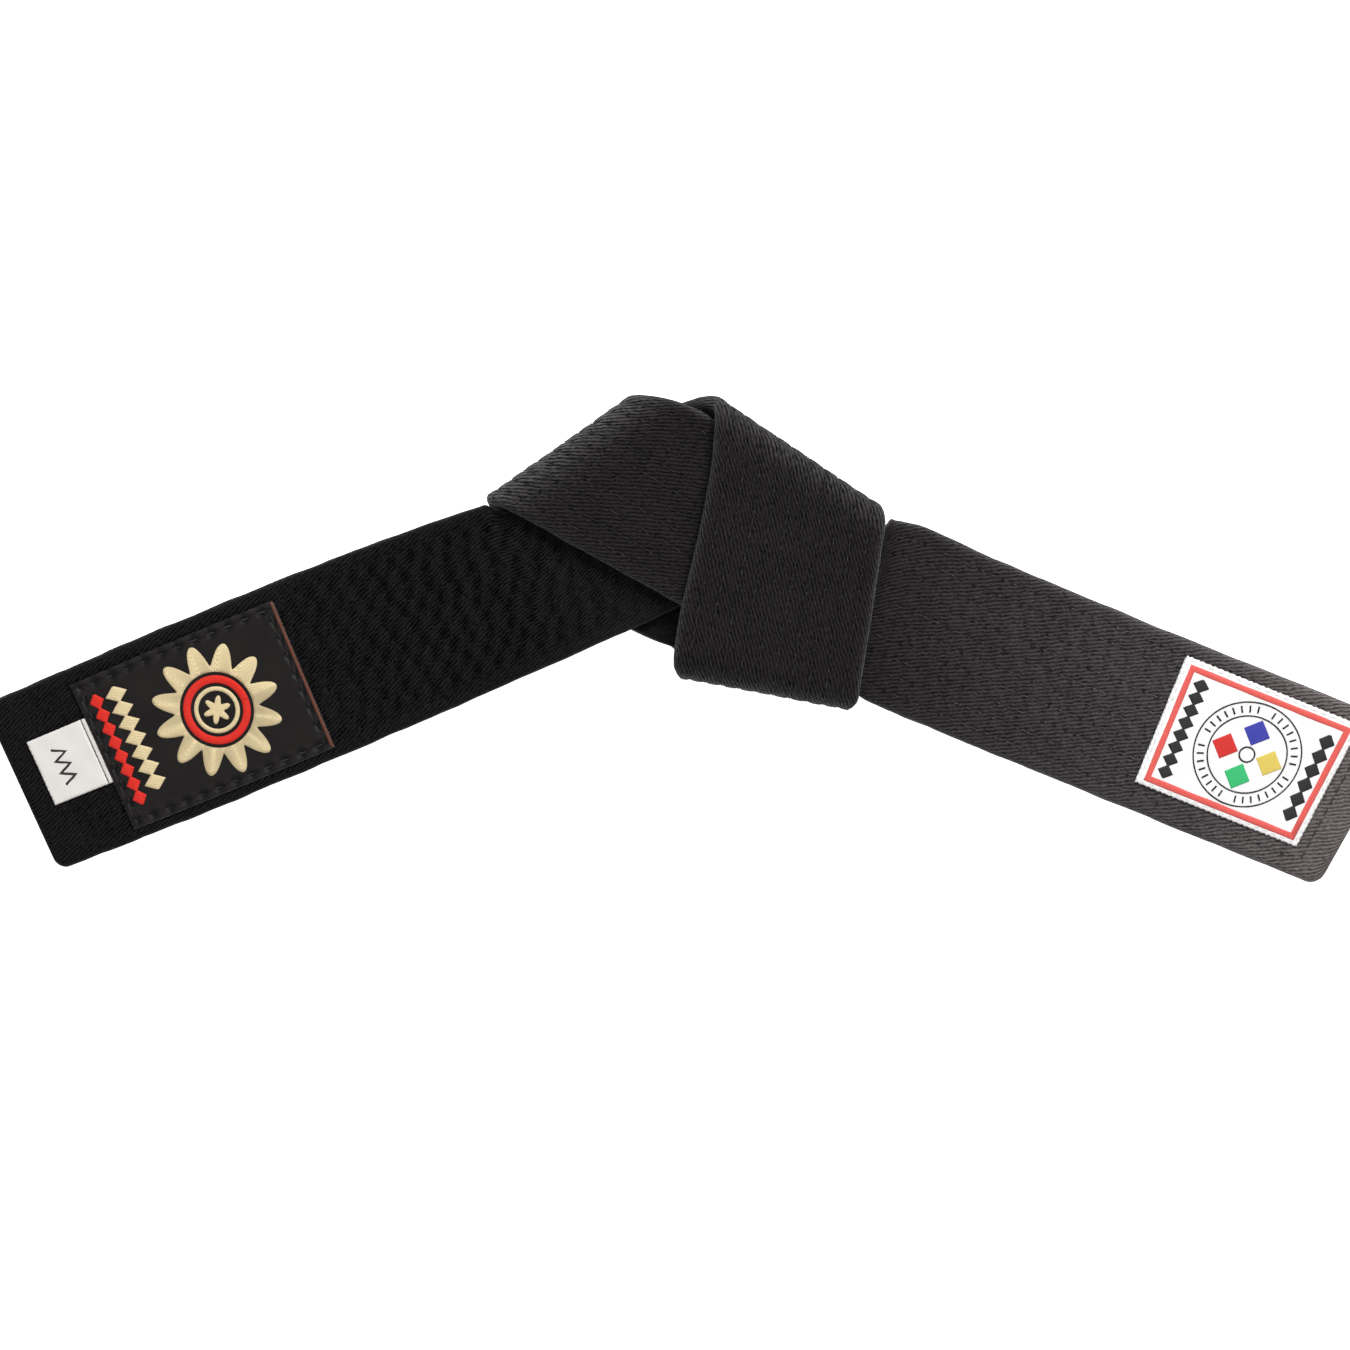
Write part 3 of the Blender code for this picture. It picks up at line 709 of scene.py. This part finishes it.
def cord(path, half_width, low, high, where, closed=False):
    """Points, faces and cloth coordinates of a domed cord along a flat path."""
    flat = np.array(path, float)
    run = np.concatenate([[0], np.cumsum(np.linalg.norm(np.diff(flat, axis=0), axis=1))])
    section = np.array([(cos(turn), sin(turn)) for turn in np.linspace(0, pi, 6)])
    before = np.roll(flat, 1, axis=0)
    after = np.roll(flat, -1, axis=0)
    into, out = flat - before, after - flat
    if not closed:
        into[0], out[-1] = out[0], into[-1]
    into /= np.linalg.norm(into, axis=1, keepdims=True)
    out /= np.linalg.norm(out, axis=1, keepdims=True)
    mean = into + out
    mean /= np.linalg.norm(mean, axis=1, keepdims=True)
    reach = half_width / np.maximum((mean * into).sum(axis=1), 0.4)
    side = np.stack([-mean[:, 1], mean[:, 0]], axis=1) * reach[:, None]
    spots = flat[:, None] + side[:, None] * section[None, :, :1]
    heights = low + (high - low) * section[None, :, 1] + 0 * run[:, None]
    points = where(spots[..., 0], spots[..., 1], heights)
    cloth = np.stack(np.broadcast_arrays(run[:, None], section[None, :, 0] * half_width), axis=-1)
    return hoop(points, cloth) if closed else tube(points, cloth)


def domed_levels(tall, low, high):
    """Heights across a domed strip, with an upright rim at both sides."""
    return low + (high - low) * np.concatenate([[0.0], tall, [0.0]])[None]


def band(centre, inner, outer, count, low, high, where):
    """A domed flat ring; inner and outer give its two radii at an angle. Its thread runs radially."""
    angles = np.linspace(0, 2 * pi, count, endpoint=False)[:, None]
    inside, outside = inner(angles), outer(angles)
    columns = 9
    section = np.concatenate([[0.0], np.linspace(0, 1, columns), [1.0]])[None]
    tall = np.sin(pi * np.linspace(0.06, 0.94, columns)) ** 0.6
    level = domed_levels(tall, low, high) + 0 * angles
    reach = inside + (outside - inside) * section
    points = where(centre[0] + reach * np.cos(angles), centre[1] + reach * np.sin(angles), level)
    cloth = np.stack(np.broadcast_arrays(angles * (inside + outside) / 2, reach), axis=-1)
    return hoop(points, cloth)


def lozenge_row(station, start, end, count, reach, low, high, where):
    """A straight row of domed lozenges across the strap, joined by narrow waists."""
    waist = 0.3
    columns = 9
    rise = np.linspace(start, end, 12 * count + 1)
    swing = np.abs(((rise - start) / (end - start) * count) % 1.0 - 0.5) * 2
    half = (reach - (reach - waist) * swing)[:, None]
    section = np.concatenate([[-1.0], np.linspace(-1, 1, columns), [1.0]])[None]
    tall = np.cos(pi / 2 * 0.9 * np.linspace(-1, 1, columns)) ** 0.6
    level = domed_levels(tall, low, high) + 0 * half
    across = rise[:, None] + 0 * section
    points = where(station + half * section, across, level)
    return tube(points, np.stack([across, half * section], axis=-1))


def dome_plate(outline, centre, low, high, where, roundness=0.35):
    """A filled shape, flat underneath and rounded over towards its rim."""
    rim = np.array(outline, float)
    middle = np.array(centre, float)
    turns = np.linspace(0.6, pi / 2, 5)
    shares = [1.0] + [1.0 - roundness * (1 - cos(turn)) for turn in turns]
    heights = [low] + [low + (high - low) * sin(turn) for turn in turns]
    spots = np.array([middle + (rim - middle) * share for share in shares])
    tall = np.array(heights)[:, None] + np.zeros((1, len(rim)))
    return tube(where(spots[..., 0], spots[..., 1], tall), spots)


def join(shapes):
    """Several shapes as one list of points, faces and cloth coordinates."""
    points, faces, cloth, offset = [], [], [], 0
    for shape_points, shape_faces, shape_cloth in shapes:
        points.append(shape_points)
        cloth.append(shape_cloth)
        faces += [tuple(index + offset for index in face) for face in shape_faces]
        offset += len(shape_points)
    return np.vstack(points), faces, np.vstack(cloth)


def make_piece(name, shapes, material, body, node=None, shade=None):
    """Joins shapes into one object that rides on a body and may stand for a CAD node; shade turns cloth
    coordinates into painted shade and highlight.
    """
    points, faces, cloth = join(shapes)
    stored = {"shade": shade(cloth[:, 0], cloth[:, 1])} if shade else None
    item = make_mesh(name, points, faces, cloth, material, stored)
    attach(item, body)
    if node:
        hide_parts(node)


def stitch_row(along, across, step, where, half_width, low, high):
    """Separate stitches along a straight line between two points."""
    start, finish = np.array([along[0], across[0]], float), np.array([along[1], across[1]], float)
    length = np.linalg.norm(finish - start)
    count = max(1, round(length / step))
    way = (finish - start) / count
    middles = [start + way * (number + 0.5) for number in range(count)]
    return [stitch(middle, way * STITCH_COVER, half_width, low, high, where) for middle in middles]


def stitch(middle, way, half_width, low, high, where):
    """One stitch: a lens-shaped bead of thread along way, lowest at both ends."""
    share = np.array([-0.5, -0.4, -0.15, 0.15, 0.4, 0.5])
    fat = np.array([0.25, 0.7, 1.0, 1.0, 0.7, 0.25])
    turn = np.linspace(0, 2 * pi, 7)[:-1]
    side = unit(np.array([-way[1], way[0]]))
    spots = middle + way * share[:, None, None] + side * (half_width * fat[:, None] * np.cos(turn))[..., None]
    level = low + (high - low) * (fat[:, None] * (0.5 + 0.5 * np.sin(turn)))
    points = where(spots[..., 0], spots[..., 1], level)
    run = middle[0] + share * np.linalg.norm(way)
    return tube(points, np.stack(np.broadcast_arrays(run[:, None], middle[1] + turn * half_width), axis=-1))


def quilting_stitches(start, end, face):
    """The stitches of every row on one face (1 front, -1 back), lying in their grooves."""
    length, half_width = QUILTING_THREAD
    way = np.array([length, 0.0])
    low, high = (face * height for height in QUILTING_HEIGHTS)
    stations = np.arange(start, end, 0.25)
    margin = 1.2
    shapes = []
    for number in range(ROWS):
        row = number - (ROWS - 1) / 2
        across = row * ROW_SPACING
        phase = cloth_run(stations, across) / STITCH + ROW_SHIFT * row
        for whole in range(int(np.ceil(phase[0])), int(phase[-1])):
            middle = np.interp(whole + 0.5, phase, stations)
            if start + margin < middle < end - margin:
                shapes.append(stitch(np.array([middle, across]), way, half_width, low, high, place))
    return shapes


# ---- flat outlines ----


def around_centre(centre, angles, reach):
    return np.stack([centre[0] + reach * np.cos(angles), centre[1] + reach * np.sin(angles)], axis=1)


def ring(centre, radius, count, swing=0.0, lobes=1):
    """A circle whose radius may swing in and out by a number of lobes."""
    angles = np.linspace(0, 2 * pi, count, endpoint=False)
    return around_centre(centre, angles, radius + swing * np.cos(lobes * angles))


def diamond(centre, half):
    """A square standing on its corner."""
    angles = np.linspace(0, 2 * pi, 48, endpoint=False)
    return around_centre(centre, angles, half / (np.abs(np.cos(angles)) + np.abs(np.sin(angles))))


def zigzag(station, low, high, swing, count):
    """A running wave across the strap, slightly rounded at its turns."""
    points_per_leg = 3
    share = np.linspace(0, 1, count * points_per_leg + 1)
    sway = np.arcsin(0.97 * np.cos(pi * count * share)) / np.arcsin(0.97)
    return np.stack([station - swing * sway, low + (high - low) * share], axis=1)


def rectangle(start, end, low, high):
    """A closed run of points round a rectangle."""
    along, rise = evenly(start, end, 4.0), evenly(low, high, 4.0)
    bottom = [(spot, low) for spot in along]
    right = [(end, spot) for spot in rise[1:]]
    top = [(spot, high) for spot in along[::-1][1:]]
    left = [(start, spot) for spot in rise[::-1][1:-1]]
    return bottom + right + top + left


def sheet(box, low, high, where, relief=None, ragged=0.0):
    """A thin sewn piece as a closed box with a fine top, and edges that may be slightly ragged."""
    along, rise = evenly(*box[:2], 0.4), evenly(*box[2:], 0.4)
    wave = ragged * (np.sin(along * 4.1) + 0.6 * np.sin(along * 9.7 + 1))
    top_rise = rise[None] + 0 * along[:, None]
    top_rise[:, 0] -= wave
    top_rise[:, -1] += wave
    top_along = along[:, None] + 0 * rise[None]
    edge = ragged * (np.sin(rise * 4.7) + 0.6 * np.sin(rise * 10.3 + 2))
    top_along[0] -= edge
    top_along[-1] += edge
    tall = np.full(top_along.shape, high)
    if relief:
        tall = tall + relief(top_along, top_rise)
    border = np.zeros(top_along.shape, bool)
    border[[0, -1]] = border[:, [0, -1]] = True
    tall = np.where(border, low + 0.6 * (high - low), tall)
    spots_along = np.concatenate([top_along, top_along[:, ::-1]], axis=1)
    spots_rise = np.concatenate([top_rise, top_rise[:, ::-1]], axis=1)
    levels = np.concatenate([tall, np.full(tall.shape, low)], axis=1)
    return tube(where(spots_along, spots_rise, levels), np.stack([spots_along, spots_rise], axis=-1))


# ---- the belt ----


def bend_at(piece, hinge, way):
    """Bakes a piece's placement into its mesh; the hinge crossing and the way towards the tip are worked out
    but not used. way is 1 where the tip lies further along.
    """
    crossing = place(hinge, 0, 0)
    towards_tip = unit(place(hinge + way * 2.0, 0, 0) - crossing) * [1, 1, 0]
    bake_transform(piece)


def build_half(name, start, end, tip, twill, thread):
    """Half of the strap, with the quilting of its two faces. The left half also stands for the knot."""
    tail = tip + "_tail"
    hinge, way = (LEFT_HINGE, -1) if tip == "left" else (RIGHT_HINGE, 1)
    strap = build_strap(name, start, end, tip, twill)
    first = start + (QUILTING_MARGIN if tip == "left" else 0)
    last = end - (QUILTING_MARGIN if tip == "right" else 0)
    quilting = {}
    for side, face in (("front", 1), ("back", -1)):
        shapes = quilting_stitches(first, last, face)
        quilting[side] = make_mesh(f"{name}_quilting_{side}", *join(shapes), thread)
    for piece in (strap, *quilting.values()):
        bend_at(piece, hinge, way)
    for body in (tail, "knot") if tip == "left" else (tail,):
        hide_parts(body + "_shell", *[f"{body}_core_ply_{ply}" for ply in (1, 2, 3)])
        for side, piece in quilting.items():
            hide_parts(f"{body}_quilting_{side}")


def build_belt():
    twill = twill_material()
    black = thread_material("black_thread", (0.012, 0.0115, 0.012), 0.05)
    quilting = quilting_thread_material()
    build_half("belt_left_half", 0.0, CUT, "left", twill, quilting)
    build_half("belt_right_half", CUT, TOTAL, "right", twill, quilting)
    # grey thread at the right end, to match its painted light falloff
    grey = thread_material("right_tail_thread", (0.06, 0.055, 0.055), 0.05)
    for tip, where, thread in (("left", on_left, black), ("right", on_right, grey)):
        hem = (HEMS[tip], HEMS[tip])
        stitches = stitch_row(hem, (-HEM_REACH, HEM_REACH), STITCH, where, *HEM_THREAD)
        make_piece("hem_stitches_" + tip, stitches, thread, tip + "_tail", tip + "_end_stitching")


def petal_edge(angles):
    """Outer radius of the emblem's petals."""
    return PETAL_NOTCH + (PETAL_TIP - PETAL_NOTCH) * (0.5 + 0.5 * np.cos(PETALS * angles)) ** 0.7


def insets(box, along, rise):
    """How far points lie inside a box, from its nearer end and from its nearer side."""
    start, end, low, high = box
    return np.minimum(along - start, end - along), np.minimum(rise - low, high - rise)


def patch_relief(along, rise):
    """The patch is pulled down along its stitching and swells between, with soft pleats at each stitch."""
    inset_along, inset_rise = insets(PATCH_BOX, along, rise)
    inset = np.minimum(inset_along, inset_rise)
    along_edge = np.where(inset_along < inset_rise, rise - PATCH_LOW, along - PATCH_START)
    phase = (along_edge - PATCH_SEAM) / PATCH_STITCH
    pull = 0.3 * np.exp(-(((inset - PATCH_SEAM) / 0.6) ** 2))
    pleat = 0.28 * np.cos(2 * pi * phase) * np.exp(-(((inset - PATCH_SEAM + 0.2) / 1.5) ** 2))
    soft = 0.1 * np.sin(along * 0.28 + 0.5 * np.sin(rise * 0.31)) * np.sin(rise * 0.33 + 0.7)
    return -pull - pleat + soft * np.clip((inset - 3) / 4, 0, 1)


def box_stitches(box, inset, step, *settings):
    """The four sides of a box stitch; settings go on to its stitches."""
    start, end, low, high = box[0] + inset, box[1] - inset, box[2] + inset, box[3] - inset
    shapes = []
    for along, across in (
        ((start, end), (low, low)),
        ((start, end), (high, high)),
        ((start, start), (low, high)),
        ((end, end), (low, high)),
    ):
        shapes += stitch_row(along, across, step, *settings)
    return shapes


def circle(radius):
    """A radius that is the same at every angle."""
    return lambda angles: radius + 0 * angles


def build_patch():
    raised, top = 2.66, 3.06  # underside and top of the embroidery
    satin = satin_material("patch_satin", (0.0012, 0.001, 0.001), (0.019, 0.0145, 0.0145), 0.32, 0.38, 0.2)
    cream = thread_material("cream_embroidery", (1.0, 0.76, 0.44), 0.2, 0.42, 0.1)
    red = thread_material("red_embroidery", (0.92, 0.035, 0.022), 0.15, 0.42, 0.1)
    brown = thread_material("selvedge_thread", (0.16, 0.05, 0.025), 0.3, 0.6, 0.1)
    seam = thread_material("patch_seam_thread", (0.012, 0.01, 0.01), 0.4)
    ground = sheet(PATCH_BOX, 1.8, 2.7, on_left, patch_relief, 0.04)
    # the patch's relief is also painted into its colour, as shade in the dips and highlight on the swells
    make_piece("patch_satin_ground", [ground], satin, "left_tail", "patch_ground", shade=patch_relief)
    stitches = box_stitches(PATCH_BOX, PATCH_SEAM, PATCH_STITCH, on_left, 0.25, 2.2, 2.66)
    make_piece("patch_seam", stitches, seam, "left_tail", "patch_stitching")
    selvedge = [(PATCH_END - 0.5, rise) for rise in np.linspace(PATCH_LOW + 0.3, PATCH_HIGH - 0.3, 40)]
    edge = cord(selvedge, 0.45, 2.4, 2.95, on_left)
    make_piece("patch_brown_edge", [edge], brown, "left_tail", "patch_selvedge")
    for name, inner, outer, count, thread, node in (
        ("emblem_petals", PETAL_ROOT, petal_edge, 20 * PETALS, cream, "patch_emblem_outer_ring"),
        ("emblem_red_ring", RED_RING[0], circle(RED_RING[1]), 120, red, "patch_emblem_red_ring"),
        ("emblem_cream_ring", CREAM_RING[0], circle(CREAM_RING[1]), 96, cream, "patch_emblem_inner_ring"),
    ):
        shape = band(EMBLEM, circle(inner), outer, count, raised, top, on_left)
        make_piece(name, [shape], thread, "left_tail", node)
    star = dome_plate(ring(EMBLEM, STAR, 72, STAR_SWING, STAR_POINTS), EMBLEM, raised, top, on_left)
    make_piece("emblem_star", [star], cream, "left_tail", "patch_emblem_star")
    for name, row, thread, node in (
        ("patch_cream_lozenges", (CREAM_ROW, -13.0, 14.0, 7, 2.9), cream, "patch_cream_row"),
        ("patch_red_lozenges", (RED_ROW, -15.0, 14.0, 8, 1.9), red, "patch_red_row"),
    ):
        make_piece(name, [lozenge_row(*row, raised, top, on_left)], thread, "left_tail", node)


def label_relief(along, rise):
    """The label is drawn down by its edge seam and lies a little unevenly."""
    inset = np.minimum(*insets(LABEL_BOX, along, rise))
    pull = 0.1 * np.exp(-(((inset - 0.9) / 0.4) ** 2))
    return -pull + 0.04 * np.sin(along * 0.5) * np.sin(rise * 0.45 + 1)


def build_label_ground():
    white = satin_material("label_weave", (0.95, 0.94, 0.935), (1.0, 1.0, 1.0), 0.4, 0.6, 0.3, 0.03)
    seam = thread_material("label_seam_thread", (1.0, 0.96, 0.95), 0.3)
    ground = sheet(LABEL_BOX, 1.9, 2.5, on_right, label_relief, 0.12)
    # the label's relief is also painted into its colour: painted shade where its seam draws it down
    make_piece("label_woven_ground", [ground], white, "right_tail", "label_ground", shade=label_relief)
    stitches = box_stitches(LABEL_BOX, 0.8, 2.4, on_right, 0.16, 2.3, 2.52)
    make_piece("label_seam", stitches, seam, "right_tail", "label_stitching")


def label_ring(radius, count, half_width):
    """A thin circle round the label's centre."""
    return cord(ring(LABEL_CENTRE, radius, count), half_width, *LABEL_THREAD, on_right, True)


def build_label_figures():
    """Everything woven into the label: its border, the dial with four diamonds, and two rows of lozenges."""
    salmon = thread_material("label_border_thread", (1.0, 0.15, 0.13), 0.1, 0.4, 0.05)
    dark = thread_material("label_dark_thread", (0.03, 0.03, 0.032), 0.2, 0.4, 0.05)
    border = rectangle(LABEL_NEAR + 2.2, LABEL_FAR - 2.6, LABEL_LOW + 2.0, LABEL_HIGH - 2.4)
    edge = cord(border, 0.82, *LABEL_THREAD, on_right, True)
    make_piece("label_red_border", [edge], salmon, "right_tail", "label_border")
    outer, inner = LABEL_RINGS
    make_piece("label_outer_circle", [label_ring(outer, 120, 0.2)], dark, "right_tail", "label_outer_ring")
    marks = [label_ring(inner, 96, 0.2)]
    for number in range(TICKS):
        way = np.array([cos(2 * pi * number / TICKS), sin(2 * pi * number / TICKS)])
        tick = [LABEL_CENTRE + way * reach for reach in (inner + 0.9, outer - 0.9)]
        if number % (TICKS // 4):
            marks.append(cord(tick, 0.24, *LABEL_THREAD, on_right))
    make_piece("label_inner_circle", marks, dark, "right_tail", "label_inner_ring")
    make_piece("label_hub_circle", [label_ring(LABEL_HUB, 40, 0.22)], dark, "right_tail", "label_hub")
    for name, colour, way in (
        ("blue", (0.065, 0.07, 0.47), (0, 1)),
        ("yellow", (0.9, 0.7, 0.15), (-1, 0)),
        ("green", (0.06, 0.62, 0.22), (0, -1)),
        ("red", (0.8, 0.045, 0.04), (1, 0)),
    ):
        thread = thread_material(f"label_{name}_thread", colour, 0.2, 0.4, 0.05)
        spot = np.array(LABEL_CENTRE) + DIAMOND_REACH * np.array(way)
        shape = dome_plate(diamond(spot, DIAMOND_HALF), spot, *LABEL_THREAD, on_right, roundness=0.15)
        make_piece(f"label_{name}_figure", [shape], thread, "right_tail", f"label_diamond_{name}")
    for name, row in (
        ("inner", (LABEL_FAR - 6.2, -12.0, 14.4, 8)),
        ("outer", (LABEL_NEAR + 5.4, -10.4, 13.4, 6)),
    ):
        shape = lozenge_row(*row, 2.1, *LABEL_THREAD, on_right)
        make_piece("label_lozenges_" + name, [shape], dark, "right_tail", "label_row_" + name)


def tag_relief(along, rise):
    """The ribbon lies a little unevenly."""
    return 0.05 * np.sin(along * 0.9 + 0.4 * rise) + 0.04 * np.sin(rise * 0.7)


def build_tag():
    white = satin_material("tag_satin", (0.76, 0.73, 0.69), (0.93, 0.9, 0.86), 0.3, 0.35, 0.5)
    ink = thread_material("tag_ink", (0.05, 0.05, 0.05), 0.1, 0.5, 0.02)
    ground = sheet(TAG_BOX, 2.2, 2.6, on_left, tag_relief, 0.02)
    make_piece("tag_ribbon", [ground], white, "size_tag", "size_tag_ribbon")
    mark = cord(zigzag(12.6, -3.6, 5.6, 1.6, 6), 0.3, 2.6, 2.72, on_left)
    make_piece("tag_printed_wave", [mark], ink, "size_tag", "size_tag_mark")
    sewn_box = (TAG_BOX[1] + 0.15, PATCH_START + 1.0, *TAG_BOX[2:])
    make_piece("tag_sewn_end", [sheet(sewn_box, 1.9, 2.22, on_left)], white, "left_tail")


# ---- the studio ----


def build_floor():
    """A pale sweep that glows a little, so that the belt hardly throws a shadow on it."""
    shader = Shader("pale_floor", roughness=0.9, specular=0.1)
    position = shader.node("ShaderNodeNewGeometry").outputs[0]
    cloud = shader.noise(position, 3.0, 2.0)
    shader.colour(shader.mix(cloud, (0.93, 0.93, 0.93), (0.96, 0.96, 0.96)))
    fill(shader.surface, Emission_Color=(1.0, 1.0, 1.0, 1.0), Emission_Strength=1.0)
    bpy.ops.mesh.primitive_plane_add(size=12.0, location=(0, 0, -0.0003))
    floor = bpy.context.object
    floor.name = "floor"
    floor.data.materials.append(shader.material)


def add_light(name, location, size, power):
    """A square softbox that faces the middle of the belt."""
    light = bpy.data.lights.new(name, "AREA")
    light.shape = "SQUARE"
    light.size = size
    light.energy = power
    item = bpy.data.objects.new(name, light)
    item.location = location
    aim = -np.array(location)
    pitch = np.arctan2(np.hypot(aim[0], aim[1]), -aim[2])
    item.rotation_euler = (pitch, 0, np.arctan2(aim[1], aim[0]) - pi / 2)
    bpy.context.scene.collection.objects.link(item)


def build_studio():
    build_floor()
    add_light("key_softbox", (0.35, 0.75, 0.8), 0.5, 11.5)
    add_light("fill_softbox", (-1.3, 0.2, 1.4), 1.6, 6.0)
    add_light("front_softbox", (0.2, -1.4, 1.3), 1.6, 4.0)
    world = bpy.data.worlds.new("studio")
    world.use_nodes = True
    fill(world.node_tree.nodes["Background"], Color=(1.0, 1.0, 1.0, 1.0), Strength=0.32)
    scene = bpy.context.scene
    scene.world = world
    scene.view_settings.view_transform = "Standard"
    camera = bpy.data.cameras.new("camera")
    camera.lens = LENS
    camera.sensor_width = 36.0
    item = bpy.data.objects.new("camera", camera)
    distance = VIEW_WIDTH * LENS / 36.0
    item.location = (VIEW_CENTRE[0] * MM, VIEW_CENTRE[1] * MM, (distance + 8.0) * MM)
    scene.collection.objects.link(item)
    scene.camera = item


build_belt()
build_patch()
build_label_ground()
build_label_figures()
build_tag()
build_studio()
bpy.context.view_layer.update()
